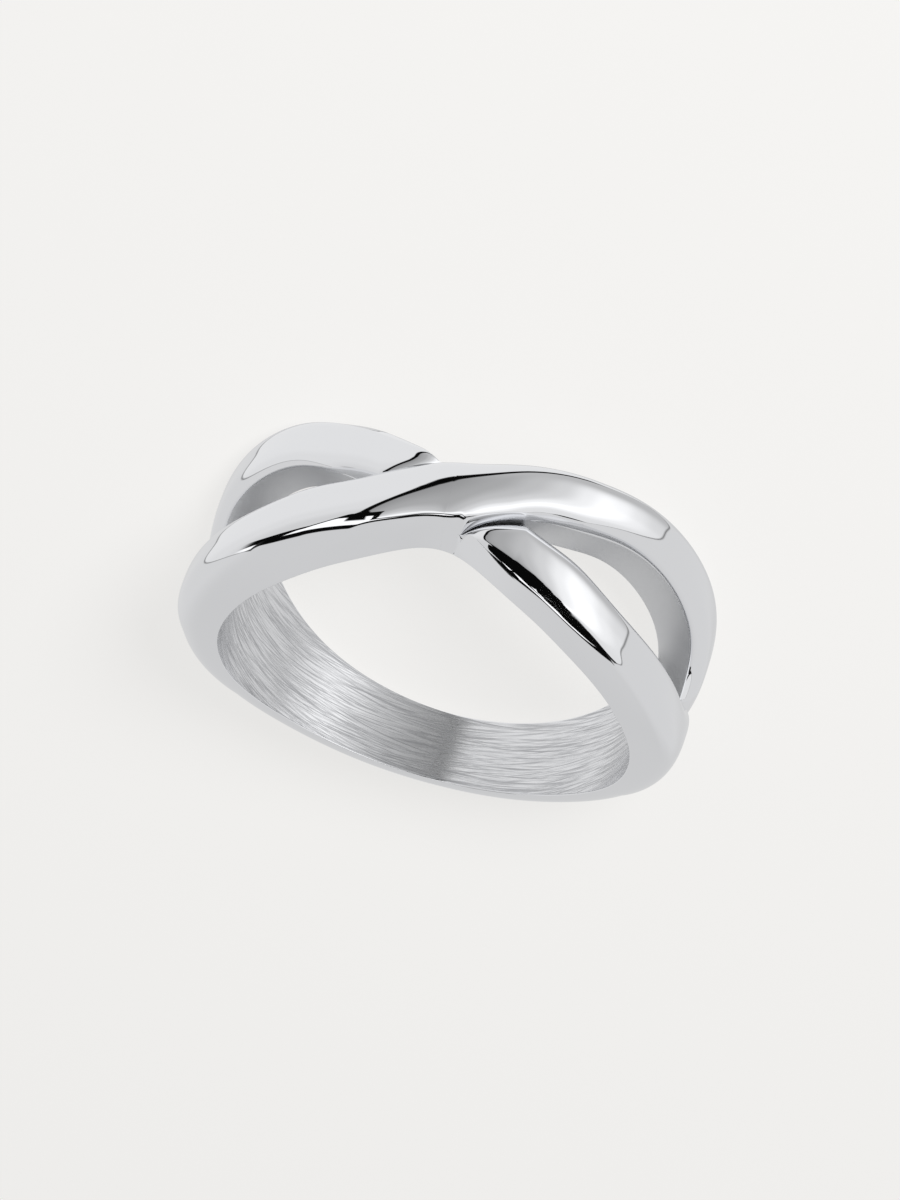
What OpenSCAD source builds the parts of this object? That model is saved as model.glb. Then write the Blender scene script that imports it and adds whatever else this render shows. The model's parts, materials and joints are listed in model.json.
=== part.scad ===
// Crossover ring in one piece of polished steel, lying on its side as it rests on a table.
// Two strands part from a plain back band, leave a lens shaped gap on each side and cross at the front,
// where the over strand runs across the under strand. The finger hole is a true cylinder.
//
// Lengths are in millimetres and angles in degrees. Ring angles are counted from the crossing.
// In the ring's own frame its axis is Z, the crossing is on -Y and the half turn about Y swaps the two
// sides, so only the side with -X is worked out and the other side is its half turned copy.

/* [Finger hole] */
// Diameter of the finger hole
finger_d = 17.2; // [14:0.1:23]

/* [Band width] */
// Width of the band at the crossing
cross_w = 3.4; // [2.6:0.1:4.6]
// Width over both strands where the ring is widest
widest_w = 7.4; // [6.6:0.1:9]
// Width of the plain band at the back
back_w = 3.3; // [2.2:0.1:4.4]
// Angle from the crossing to the widest place
widest_at = 62; // [52:1:72]

/* [Band thickness] */
// Thickness of the over strand at its crown
crown_t = 2.5; // [2.3:0.05:3.2]
// Thickness of the under strand at its crown
under_t = 1.85; // [1.6:0.05:2.1]
// Thickness where the two strands join the band
side_t = 1.9; // [1.6:0.05:2.2]
// Thickness of the plain band at the back
back_t = 1.25; // [1.0:0.05:1.6]

/* [Gaps] */
// Greatest width of each gap between the strands
gap_w = 2.8; // [2:0.1:3.4]
// Angle at which a gap opens beside the crossing
gap_start = 17.5; // [14:0.5:22]
// Angle at which a gap closes again
gap_end = 92; // [84:1:100]
// Height of the gap's wall on the over strand
over_lip_t = 1.8; // [1.6:0.05:2]
// Height of the gap's wall on the under strand
under_lip_t = 1.4; // [1.2:0.05:1.5]
// Height of the gap's walls where the gap closes
end_lip_t = 1.2; // [1:0.05:1.4]

/* [Crossing] */
// Angle at which the under strand comes out from below the over strand
notch_at = 4; // [3:0.5:6]
// Height of the side face where the under strand comes out
notch_t = 1.3; // [1.1:0.05:1.5]
// Distance from the rim in to the point where the under strand comes out
notch_inset = 0.25; // [0.15:0.05:0.4]
// Height of the under strand where the gap opens
tip_t = 0.7; // [0.5:0.05:1]

/* [Hidden] */

finger_r = finger_d / 2;
// The outer form starts this far inside the finger hole, which is then bored out of it.
bore_stock = 0.6;
// Angle past a gap's end at which the groove between the strands has run out
groove_end = gap_end + 28;
// Steps from the crown of a strand down to each of its edges
arc_steps = 6;

// Columns of the tables below.
AT = 0;
SHARE = 1;

// Share of the way from the crossing's width to the widest, at shares of widest_at.
swell = [[0, 0], [0.1, 0.07], [0.2, 0.25], [0.32, 0.48], [0.48, 0.70], [0.65, 0.87], [0.82, 0.97], [1, 1]];
// Share of the way from the back's width to the widest, from the widest place to the back.
taper = [[0, 1], [0.11, 0.97], [0.24, 0.84], [0.37, 0.65], [0.5, 0.44], [0.66, 0.19], [0.83, 0.05], [1, 0]];
// Over strand's front edge from the notch to the gap's start, as a share of where it stands at the notch.
undercut = [[0, 1], [0.13, 0.8], [0.27, 0.61], [0.56, 0.32], [0.86, 0.09], [1, 0]];
// Half width of a gap from its start to its end, as a share of its greatest half width.
gap_outline = [[0, 0], [0.034, 0.11], [0.1, 0.34], [0.17, 0.53], [0.3, 0.83], [0.44, 0.98], [0.53, 1],
               [0.6, 1], [0.77, 0.89], [0.92, 0.52], [1, 0]];
// Crown of the over strand from the crossing to the gap's end: share of the way from side_t to crown_t.
crown_fall = [[0, 1], [0.33, 1], [0.65, 0.55], [1, 0]];
// Crown of the under strand from the notch to the gap's end: share of the way from notch_t to under_t,
// then from under_t to side_t.
under_rise = [[0, 0], [0.05, 0.4], [0.1, 0.65], [0.2, 0.9], [0.4, 1], [1, 1]];
under_join = [[0, 0], [0.4, 0], [0.8, 0.8], [1, 1]];
// Crown of the band from the gap's end to the back: share of the way from back_t to side_t.
back_fall = [[0, 1], [0.3, 0.4], [0.6, 0.1], [1, 0]];
// Top edge of the over strand's wall from the notch to the gap's end: share of the way from notch_t to
// over_lip_t, then from end_lip_t to over_lip_t.
over_lip_rise = [[0, 0], [0.06, 0.4], [0.2, 0.75], [0.45, 1], [1, 1]];
over_lip_fall = [[0, 1], [0.45, 1], [0.75, 0.7], [1, 0]];
// Top edge of the under strand: from notch_t down to tip_t, then from tip_t up to under_lip_t, then on
// to end_lip_t.
under_sink = [[0, 1], [0.15, 0.42], [0.3, 0.28], [0.63, 0.2], [1, 0]];
under_lip_rise = [[0, 0], [0.08, 0.45], [0.2, 0.85], [0.35, 1], [1, 1]];
under_lip_fall = [[0, 1], [0.5, 1], [0.85, 0.6], [1, 0]];
// Side face of the under strand's rim from the notch to the gap's end, as a share of notch_t.
under_side = [[0, 1], [0.06, 0.85], [0.2, 0.75], [1, 0.75]];
// Place of the under strand's crown between its inner edge, 0, and its rim, 1.
under_crown_place = [[0, 0], [0.12, 0.4], [0.25, 0.5], [1, 0.5]];
// Squareness of the shoulders at the rim, from the crossing to the back.
rim_square = [[0, 2.4], [0.06, 3], [0.1, 3.5], [0.17, 3.7], [0.33, 3.6], [0.5, 3.1], [0.67, 2.9], [1, 2.6]];
// Squareness of the over strand's shoulder above its wall, from the notch to the gap's end.
wall_square = [[0, 2], [0.3, 2.4], [1, 2]];
// Squareness of the under strand's shoulder beside the gap.
lip_square = 2;

// Smooth curve through the rows of a table. Its slope at a row is the mean of the slopes on both
// sides, and it is flat where the table turns.
function row_slope(table, i) =
    let (rise = function(j) (table[j + 1][SHARE] - table[j][SHARE]) / (table[j + 1][AT] - table[j][AT]),
         last = len(table) - 1)
    i == 0 ? rise(0) : i == last ? rise(last - 1) :
    let (before = rise(i - 1), after = rise(i))
    before * after <= 0 ? 0 : 2 * before * after / (before + after);
function row_under(table, at, i = 0) =
    i >= len(table) - 2 || at < table[i + 1][AT] ? i : row_under(table, at, i + 1);
function curve(table, at) =
    let (i = row_under(table, at), low = table[i], high = table[i + 1], span = high[AT] - low[AT],
         u = min(max((at - low[AT]) / span, 0), 1),
         bend = row_slope(table, i) * span, end_bend = row_slope(table, i + 1) * span)
    low[SHARE] * (2 * u * u * u - 3 * u * u + 1) + bend * (u * u * u - 2 * u * u + u)
    + high[SHARE] * (3 * u * u - 2 * u * u * u) + end_bend * (u * u * u - u * u);
function mix(from, to, share) = from * (1 - share) + to * share;
// Share of the way that an angle is along a stretch of the ring.
function along(angle, from, to) = min(max((angle - from) / (to - from), 0), 1);

// Half width of the whole band, from the middle plane to its rim.
function rim_z(a) =
    a <= widest_at ? mix(cross_w, widest_w, curve(swell, a / widest_at)) / 2
                   : mix(back_w, widest_w, curve(taper, along(a, widest_at, 180))) / 2;

// Crowns, walls and side faces of the two strands.
function over_crown_t(a) =
    a <= gap_end ? mix(side_t, crown_t, curve(crown_fall, a / gap_end))
                 : mix(back_t, side_t, curve(back_fall, along(a, gap_end, 180)));
function from_notch(a) = along(a, notch_at, gap_end);
function under_crown_t(a) =
    a >= gap_end ? over_crown_t(a)
                 : mix(mix(notch_t, under_t, curve(under_rise, from_notch(a))), side_t,
                       curve(under_join, from_notch(a)));
function over_lip(a) =
    mix(mix(notch_t, end_lip_t, from_notch(a)), over_lip_t,
        curve(over_lip_rise, from_notch(a)) * curve(over_lip_fall, from_notch(a)));
function under_lip(a) =
    a <= gap_start ? mix(tip_t, notch_t, curve(under_sink, along(a, notch_at, gap_start)))
                   : let (s = along(a, gap_start, gap_end))
                     mix(mix(tip_t, under_lip_t, curve(under_lip_rise, s)), end_lip_t,
                         1 - curve(under_lip_fall, s));
function side_face_t(a, over) =
    a >= gap_end ? mix(1, 0.75, 1) * notch_t * over_crown_t(a) / side_t
                 : notch_t * (over ? mix(1, 0.75, along(a, notch_at, gap_end))
                                   : curve(under_side, from_notch(a)));

// Height of a point on a squared arc, and its place across, for a turn of 0 at the crown to 90 at the rim.
function arc_out(turn, square) = pow(sin(turn), 2 / square);
function arc_up(turn, square) = pow(cos(turn), 2 / square);
// Turn at which a squared arc has fallen to this share of its height.
function arc_turn(height, square) = acos(pow(min(height, 1), square / 2));
// Points [z, thickness] from the crown down to one edge. A rim arc would reach the rim at thickness 0 and
// stops at the side face. A cut arc reaches edge_z at edge_t.
function rim_arc(crown_z, top_t, edge_z, side, square) =
    let (last = arc_turn(side / top_t, square))
    [for (i = [0:arc_steps]) let (turn = last * i / arc_steps)
        [crown_z + (edge_z - crown_z) * arc_out(turn, square), top_t * arc_up(turn, square)]];
function cut_arc(crown_z, top_t, edge_z, edge_t, square) =
    let (last = arc_turn(edge_t / top_t, square), reach = arc_out(last, square))
    [for (i = [0:arc_steps]) let (turn = last * i / arc_steps)
        [crown_z + (reach > 0 ? (edge_z - crown_z) * arc_out(turn, square) / reach : 0),
         top_t * arc_up(turn, square)]];
function reversed(list) = [for (i = [len(list) - 1:-1:0]) list[i]];
// One chain across a strand, from the edge of the first arc over the crown to the edge of the second.
function over_crown(first, second) = concat(reversed(first), [for (i = [1:arc_steps]) second[i]]);

// Where the over strand's side face turns into its wall.
notch_z = rim_z(notch_at) - notch_inset;
// Signed place of the over strand's front edge on the -X side: ahead of the middle plane up to the
// gap's start, behind it along the gap.
function front_edge_z(a) =
    a <= gap_start ? notch_z * curve(undercut, along(a, notch_at, gap_start))
                   : -gap_w / 2 * curve(gap_outline, along(a, gap_start, gap_end));
function half_gap(a) = a <= gap_start || a >= gap_end ? 0 : -front_edge_z(a);
// Crown of the over strand: on the middle plane at the crossing, then half way between its edges.
function over_crown_z(a) =
    let (half_way = (front_edge_z(max(a, notch_at)) - rim_z(max(a, notch_at))) / 2)
    a < notch_at ? half_way * a / notch_at : half_way;

// Chains of [z, thickness] across the ring at one angle.
function rim_side(a, crown_z, top_t, over, rim) =
    rim_arc(crown_z, top_t, rim, side_face_t(a, over), curve(rim_square, a / 180));
// Top of the over strand's side face beside the crossing, at a signed angle that is positive on the side
// where the strand is in front. It runs from the notch to the rim's shoulder beyond the crossing.
notch_back = rim_side(notch_at, over_crown_z(notch_at), over_crown_t(notch_at), true, -rim_z(notch_at));
function cross_share(signed) = let (u = (signed / notch_at + 1) / 2) u * u * (3 - 2 * u);
function cross_edge_z(signed) = mix(notch_z, -notch_back[arc_steps][0], cross_share(signed));
function cross_square(signed) =
    mix(wall_square[0][SHARE], curve(rim_square, notch_at / 180), cross_share(signed));
function cross_half(signed, crown_z, top_t, side) =
    cut_arc(crown_z, top_t, side * cross_edge_z(signed), side_face_t(abs(signed), true), cross_square(signed));
function over_chain(a) =
    let (crown_z = over_crown_z(a), top_t = over_crown_t(a))
    a < notch_at ? over_crown(cross_half(-a, crown_z, top_t, 1), cross_half(a, crown_z, top_t, -1))
                 : over_crown(cut_arc(crown_z, top_t, front_edge_z(a), over_lip(a),
                                      curve(wall_square, from_notch(a))),
                              rim_side(a, crown_z, top_t, true, -rim_z(a)));
function under_inner_z(a) = a <= gap_start ? front_edge_z(a) : half_gap(a);
function under_chain(a) =
    let (inner = under_inner_z(a), crown_z = mix(inner, rim_z(a), curve(under_crown_place, from_notch(a))),
         top_t = under_crown_t(a))
    over_crown(rim_side(a, crown_z, top_t, false, rim_z(a)),
               cut_arc(crown_z, top_t, inner, under_lip(a), lip_square));
// Past the gap both halves are alike, and a groove on the middle plane runs out.
function back_half(a) =
    let (share = along(a, gap_end, groove_end), run_out = share * share * (3 - 2 * share),
         top_t = over_crown_t(a), crown_z = rim_z(a) / 2 * (1 - run_out), lip = mix(end_lip_t, top_t, run_out))
    over_crown(rim_side(a, crown_z, top_t, true, rim_z(a)), cut_arc(crown_z, top_t, 0, lip, lip_square));
function back_chain(a) =
    let (half = back_half(a), steps = len(half) - 1)
    concat(half, [for (i = [1:steps]) [-half[steps - i][0], half[steps - i][1]]]);

// A point of the ring's own frame on its -X side, kept to a millionth so that shared edges meet exactly.
function kept(v) = round(v * 1e6) / 1e6;
function place(a, z, t) = [kept(-(finger_r + t) * sin(a)), kept(-(finger_r + t) * cos(a)), kept(z)];
function row(a, chain) = [for (p = chain) place(a, p[0], p[1])];

// Angles of the stations, closer together at the crossing. Each stretch ends on its limits.
function stations(from, to, step) =
    let (n = max(1, round((to - from) / step))) [for (i = [0:n]) mix(from, to, i / n)];
function joined(lists) =
    concat(lists[0], len(lists) < 2 ? [] : [for (k = [1:len(lists) - 1]) for (i = [1:len(lists[k]) - 1]) lists[k][i]]);
cross_angles = stations(0, notch_at, 1.4);
tuck_angles = stations(notch_at, gap_start, 1.5);
gap_angles = joined([stations(gap_start, gap_start + 8, 2), stations(gap_start + 8, gap_end - 8, 3),
                     stations(gap_end - 8, gap_end, 2)]);
back_angles = joined([stations(gap_end, groove_end, 3.5), stations(groove_end, 180, 4)]);
strand_angles = joined([tuck_angles, gap_angles]);
all_angles = joined([cross_angles, tuck_angles, gap_angles, back_angles]);

// Faces of one grid of rows, without the ones that have shrunk to a line.
function grid_faces(rows, first) =
    let (cols = len(rows[0]))
    [for (i = [0:len(rows) - 2]) for (j = [0:cols - 2])
        let (a = rows[i][j], b = rows[i][j + 1], c = rows[i + 1][j + 1], d = rows[i + 1][j],
             n = first + i * cols + j)
        each concat(a == b || b == c || a == c ? [] : [[n, n + 1, n + cols + 1]],
                    a == c || c == d || a == d ? [] : [[n, n + cols + 1, n + cols]])];
function backwards(rows) = [for (r = rows) reversed(r)];
// Half turn about Y, which gives the +X side.
function half_turned(rows) = [for (r = rows) [for (p = r) [-p[0], p[1], -p[2]]]];
function flat(lists) = [for (l = lists) each l];

// Top of the side face at the front rim and at the back rim.
function front_top(a) = a < notch_at ? over_chain(a)[0] : a < gap_end ? under_chain(a)[0] : back_chain(a)[0];
function back_top(a) = let (chain = a < gap_end ? over_chain(a) : back_chain(a)) chain[len(chain) - 1];
// The side face goes on below the finger hole's wall, in line with itself.
inside = -bore_stock;
function foot(a, top) = [sign(top[0]) * rim_z(a) * (1 - inside / top[1]) + top[0] * inside / top[1], inside];

// Grids that close the -X side. Each row runs from the +Z rim to the -Z rim, seen from outside.
function side_grids() =
    let (top_over = [for (a = joined([cross_angles, strand_angles])) row(a, over_chain(a))],
         top_under = [for (a = strand_angles) row(a, under_chain(a))],
         top_back = [for (a = back_angles) row(a, back_chain(a))],
         front_side = [for (a = all_angles) let (top = front_top(a)) row(a, [foot(a, top), top])],
         back_side = [for (a = all_angles) let (top = back_top(a)) row(a, [top, foot(a, top)])],
         over_wall = [for (a = strand_angles)
             row(a, [[front_edge_z(a), under_lip(a)], [front_edge_z(a), over_lip(a)]])],
         over_wall_foot = [for (a = gap_angles)
             row(a, [[-half_gap(a), inside], [-half_gap(a), under_lip(a)]])],
         under_wall = [for (a = gap_angles)
             row(a, [[half_gap(a), under_lip(a)], [half_gap(a), inside]])],
         inner_front = [for (a = all_angles) row(a, [[half_gap(a), inside], foot(a, front_top(a))])],
         inner_back = [for (a = all_angles) row(a, [foot(a, back_top(a)), [-half_gap(a), inside]])])
    [top_over, top_under, top_back, front_side, back_side, over_wall, over_wall_foot, under_wall,
     inner_front, inner_back];

grids = side_grids();
all_grids = concat(grids, [for (g = grids) half_turned(g)]);
grid_points = [for (g = all_grids) flat(g)];
function first_point(k) = k == 0 ? 0 : first_point(k - 1) + len(grid_points[k - 1]);

// Outer form of the ring, closed by a rough inner wall that the finger hole removes.
module outer_form() {
    polyhedron(points = flat(grid_points),
               faces = flat([for (k = [0:len(all_grids) - 1]) grid_faces(all_grids[k], first_point(k))]),
               convexity = 8);
}

// The ring rests on its two wide places and on its back, so it leans back by the angle at which the low
// points of both are at one height. It is found by halving.
low_side = [for (a = all_angles)
    each concat(row(a, [[-rim_z(a), 0], back_top(a)]), half_turned([row(a, [[rim_z(a), 0], front_top(a)])])[0])];
front_points = [for (p = low_side) if (p[1] < 0) p];
back_points = [for (p = low_side) if (p[1] >= 0) p];
function lowest(points, lean) = min([for (p = points) p[2] * cos(lean) - p[1] * sin(lean)]);
function find_lean(low, high, turns) =
    let (middle = (low + high) / 2)
    turns == 0 ? middle :
    lowest(front_points, middle) < lowest(back_points, middle) ? find_lean(middle, high, turns - 1)
                                                                : find_lean(low, middle, turns - 1);
lean = find_lean(0, 30, 24);
rest_z = -lowest(concat(front_points, back_points), lean);
function leaned_y(p) = p[1] * cos(lean) + p[2] * sin(lean);
outline_y = [for (g = all_grids) for (r = g) for (p = r) leaned_y(p)];
rest_y = -(min(outline_y) + max(outline_y)) / 2;

module crossover_band() {
    color("silver")
    translate([0, rest_y, rest_z]) rotate([-lean, 0, 0])
    difference() {
        outer_form();
        cylinder(h = 2 * widest_w, r = finger_r, center = true, $fn = 180);
    }
}

crossover_band();
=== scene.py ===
"""A polished crossover ring on a pale floor, lying as it rests by itself.

The ring's own form is in millimetres and degrees: its finger hole runs along Z and its strands cross at -Y.
An angle is counted round the hole from the crossing, towards -X, and a height outwards from the hole's wall.
"""

import json
import logging
import math
from dataclasses import dataclass, field, fields, replace
from enum import Enum

import bpy
import numpy as np
from mathutils import Matrix, Vector


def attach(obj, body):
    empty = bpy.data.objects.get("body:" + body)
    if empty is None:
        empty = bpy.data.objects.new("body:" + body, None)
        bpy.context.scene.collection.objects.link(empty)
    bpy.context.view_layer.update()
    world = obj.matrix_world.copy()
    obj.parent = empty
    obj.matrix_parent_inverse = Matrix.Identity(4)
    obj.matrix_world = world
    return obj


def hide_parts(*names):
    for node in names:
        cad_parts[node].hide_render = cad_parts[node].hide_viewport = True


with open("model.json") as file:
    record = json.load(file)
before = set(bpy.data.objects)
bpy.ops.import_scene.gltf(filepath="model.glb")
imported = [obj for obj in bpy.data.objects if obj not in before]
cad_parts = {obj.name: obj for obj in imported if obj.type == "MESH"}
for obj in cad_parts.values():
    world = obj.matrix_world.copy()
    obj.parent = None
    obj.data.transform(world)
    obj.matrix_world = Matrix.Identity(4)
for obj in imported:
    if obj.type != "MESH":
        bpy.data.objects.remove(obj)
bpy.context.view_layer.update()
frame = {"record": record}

Array = np.ndarray
Section = tuple[Array, Array]
Colour = tuple[float, float, float, float]
Value = bpy.types.NodeSocket | float
Way = tuple[Value, Value, Value]
LOG = logging.getLogger("crossover_ring")
METRES = 0.001
TINY = 1e-9
HALF_TURN = np.array((-1.0, 1.0, -1.0))


@dataclass(frozen=True)
class Curve:
    """A smooth curve through chosen points, angles and their values, with level or free ends."""

    at: tuple[float, ...]
    value: tuple[float, ...]
    level_ends: bool = True

    def __call__(self, x: Array) -> Array:
        """Evaluate the cubic spline whose slope and bend are both continuous.

        Each stretch is the Hermite cubic between its ends. The slopes solve the linear system that makes the
        second derivative the same on both sides of each inner point, and the slope, or the bend, zero at the
        ends.

        Args:
            x: Angles, which are held to the curve's range.

        Returns:
            The values at those angles.
        """
        knots, values = np.array(self.at), np.array(self.value)
        step = np.diff(knots)
        rise = np.diff(values) / step
        count = len(knots)
        matrix, right = np.zeros((count, count)), np.zeros(count)
        inner = np.arange(1, count - 1)
        matrix[inner, inner - 1] = step[1:]
        matrix[inner, inner] = 2 * (step[1:] + step[:-1])
        matrix[inner, inner + 1] = step[:-1]
        right[inner] = 3 * (step[1:] * rise[:-1] + step[:-1] * rise[1:])
        matrix[0, :2] = (1, 0) if self.level_ends else (2, 1)
        matrix[-1, -2:] = (0, 1) if self.level_ends else (1, 2)
        right[0] = 0 if self.level_ends else 3 * rise[0]
        right[-1] = 0 if self.level_ends else 3 * rise[-1]
        slope = np.linalg.solve(matrix, right)
        x = np.clip(x, knots[0], knots[-1])
        i = np.clip(np.searchsorted(knots, x, side="right") - 1, 0, count - 2)
        u = (x - knots[i]) / step[i]
        return (
            values[i] * (2 * u**3 - 3 * u**2 + 1)
            + slope[i] * step[i] * (u**3 - 2 * u**2 + u)
            + values[i + 1] * (3 * u**2 - 2 * u**3)
            + slope[i + 1] * step[i] * (u**3 - u**2)
        )


def smooth(share: Array) -> Array:
    """Ease a share from 0 to 1 at both ends: three times its square less twice its cube.

    Args:
        share: Shares, which are held between 0 and 1.

    Returns:
        The eased shares.
    """
    share = np.clip(share, 0.0, 1.0)
    return share * share * (3 - 2 * share)


def spread(start: Array, end: Array, count: int) -> Array:
    """Space values evenly from start to end: start * (1 - share) + end * share.

    Args:
        start: The first value at each station.
        end: The last value at each station.
        count: How many steps to take.

    Returns:
        One row for each station, with one column more than there are steps.
    """
    share = np.linspace(0, 1, count + 1)[None, :]
    return start[:, None] * (1 - share) + end[:, None] * share


def cut_share(height: Array, crown: Array, power: Array) -> Array:
    """Find how far across a squared arc has come down to a height: (1 - share_up^power)^(1/power).

    Args:
        height: The heights.
        crown: The arc's height at its crown.
        power: How square the arc is, 2 for an ellipse.

    Returns:
        Shares of the arc's reach.
    """
    return np.maximum(1 - np.clip(height / crown, 0.0, 1.0) ** power, 0.0) ** (1 / power)


def rounded_least(first: Array, second: Array, ease: Array) -> Array:
    """Take the lesser of two values, rounded where they cross.

    It is less by ease / 4 * (1 - difference / ease)^2, and by nothing where they are an ease or more apart.

    Args:
        first: One value.
        second: The other value.
        ease: How far apart the values are where the rounding ends.

    Returns:
        The rounded lesser value.
    """
    near = np.maximum(1 - np.abs(first - second) / ease, 0.0)
    return np.minimum(first, second) - ease * near**2 / 4


def read_rows(wanted: Array, known: Array, values: Array) -> Array:
    """Read each row's values at wanted places, by setting the rows two apart on one line.

    Args:
        wanted: Places from 0 to 1, in rows.
        known: Places from 0 to 1 at which the values are known, in the same rows.
        values: The values there.

    Returns:
        The values at the wanted places, with straight stretches between the known ones.
    """
    shift = 2.0 * np.arange(len(known))[:, None]
    return np.interp(wanted + shift, (known + shift).ravel(), values.ravel())


@dataclass
class Face:
    """A flat cut down one side of a dome, where across + slope * height is at, and how its edge is eased."""

    at: Array
    slope: Array
    ease: Array


@dataclass
class Flank:
    """One side of a dome at each station, measured from its crown's place.

    It is the squared arc share_across^power + share_up^power = 1, and flat faces cut it.
    """

    reach: Array
    power: Array
    faces: tuple[Face, ...] = ()
    foot: Array | None = None

    def radius(self, turn: Array, crown: Array) -> Array:
        """Work out the polar radius, in shares of the reach across and of the crown's height upwards.

        The arc's radius is (sin^power + cos^power)^(-1/power), a face's is
        at / (reach * sin + slope * crown * cos), and the least of them counts, with its edges eased.

        Args:
            turn: A grid of turns from the crown, in radians, one row for each station.
            crown: The crown's height at each station.

        Returns:
            The radius at each turn.
        """
        power = self.power[:, None]
        sine, cosine = np.sin(turn), np.maximum(np.cos(turn), 0.0)
        radius = (sine**power + cosine**power) ** (-1 / power)
        for face in self.faces:
            down = self.reach[:, None] * sine + (face.slope * crown)[:, None] * cosine
            radius = rounded_least(radius, face.at[:, None] / np.maximum(down, TINY), face.ease[:, None])
        return radius

    def draw(self, turn: Array, crown: Array) -> Section:
        """Draw the flank, widened so that it ends at its foot if it has one.

        Args:
            turn: A grid of turns from the crown, in radians, one row for each station.
            crown: The crown's height at each station.

        Returns:
            Distances across from the crown's place, reach * radius * sin, and heights, crown * radius * cos.
        """
        radius = self.radius(turn, crown)
        reach = self.reach
        if self.foot is not None:
            reach = self.foot / self.radius(0 * turn[:, :1] + math.pi / 2, crown)[:, 0]
        return reach[:, None] * radius * np.sin(turn), crown[:, None] * radius * np.maximum(np.cos(turn), 0.0)


@dataclass
class Dome:
    """One strand's rounded top at each station.

    It has its crown's height and place, the height and place of its inner lip, and two flanks. Inward is 1
    where its inner side looks to the front rim and -1 where it looks to the back rim.
    """

    crown: Array
    place: Array
    lip: Array
    lip_place: Array
    inner: Flank
    outer: Flank
    inward: float
    fine: int = 500
    step_counts: float = 1e-3
    bend_counts: float = 1.5
    speed_step: float = 0.01
    most_trimmed: float = 0.5

    def draw(self, turn: Array, outer: bool) -> Section:
        """Draw one side: its flank's distances across, set off from the crown's place.

        Args:
            turn: A grid of turns from the crown, in radians, one row for each station.
            outer: Whether the side is the rim's.

        Returns:
            Places across and heights.
        """
        across, height = (self.outer if outer else self.inner).draw(turn, self.crown)
        return self.place[:, None] + (-self.inward if outer else self.inward) * across, height

    def down_to(self, share: Array, low: Array, outer: bool) -> Array:
        """Turns at shares of the way from the crown to a height, closest where the surface bends most.

        A side is drawn finely. Each step counts for a little, for its share of the length and for its share
        of all the bending.

        Args:
            share: Shares from 0 to 1, in one row.
            low: Height at which each station ends.
            outer: Whether the way goes down the rim's side.

        Returns:
            One row of turns for each station.
        """
        even = np.linspace(0, 1, self.fine)[None, :]
        turn = even * (math.pi / 2) + 0 * self.crown[:, None]
        fallen = 1 - self.draw(turn, outer)[1] / self.crown[:, None]
        last = read_rows((1 - low / self.crown)[:, None], fallen, turn)
        turn = even * last
        across, height = self.draw(turn, outer)
        step = np.stack([np.diff(across), np.diff(height)], -1)
        length = np.hypot(step[..., 0], step[..., 1])
        heading = np.unwrap(np.arctan2(step[..., 1], step[..., 0]), axis=1)
        bend = np.abs(np.diff(heading, prepend=heading[:, :1]))
        counts = length / (length.sum(1, keepdims=True) + TINY) + self.step_counts
        counts = counts + self.bend_counts * bend / (bend.sum(1, keepdims=True) + TINY)
        way = np.concatenate([0 * last, np.cumsum(counts, 1)], 1)
        return read_rows(share, way / way[:, -1:], turn)

    def trimmed(self, last: Array, trim: Array) -> Array:
        """Work out how much of the inner side is kept when a length is trimmed from its end.

        The length lost for each radian is the distance between two close turns over their difference.

        Args:
            last: The turn at which the inner side ends, in one column.
            trim: The length to leave free there, in one column.

        Returns:
            The share of the turn that is kept.
        """
        z0, t0 = self.draw(last, False)
        z1, t1 = self.draw(np.maximum(last - self.speed_step, 0), False)
        speed = np.maximum(np.hypot(z1 - z0, t1 - t0) / self.speed_step, TINY)
        return 1 - np.minimum(trim / speed / np.maximum(last, TINY), self.most_trimmed)

    def across(self, height: Array, outer: bool) -> Array:
        """Find a side's places at chosen heights, read from the side drawn finely.

        Args:
            height: A grid of heights, one row for each station.
            outer: Whether the side is the rim's.

        Returns:
            Places across.
        """
        turn = np.linspace(0, math.pi / 2, self.fine)[None, :] + 0 * self.crown[:, None]
        place, drawn = self.draw(turn, outer)
        crown = self.crown[:, None]
        return read_rows(1 - height / crown, 1 - drawn / crown, place)


def pick(part: object, rows: slice) -> object:
    """Take some stations of a part and of each part in it.

    Args:
        part: An array with a row for each station, a dome, flank or face, or a tuple of them. Anything else
            is given back as it is.
        rows: The stations wanted.

    Returns:
        The part at those stations.
    """
    if isinstance(part, np.ndarray):
        return part[rows]
    if isinstance(part, tuple):
        return tuple(pick(p, rows) for p in part)
    if isinstance(part, (Dome, Flank, Face)):
        return replace(part, **{f.name: pick(getattr(part, f.name), rows) for f in fields(part)})
    return part


class Surface(Enum):
    """Which finish a patch of the ring takes."""

    POLISHED = 0
    BRUSHED = 1
    # The gaps' walls: rougher steel whose darker colour is painted shade.
    SATIN = 2


@dataclass(frozen=True)
class Patch:
    """A grid of points in millimetres, rows along the ring and columns across it, and its finish."""

    surface: Surface
    points: Array


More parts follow.
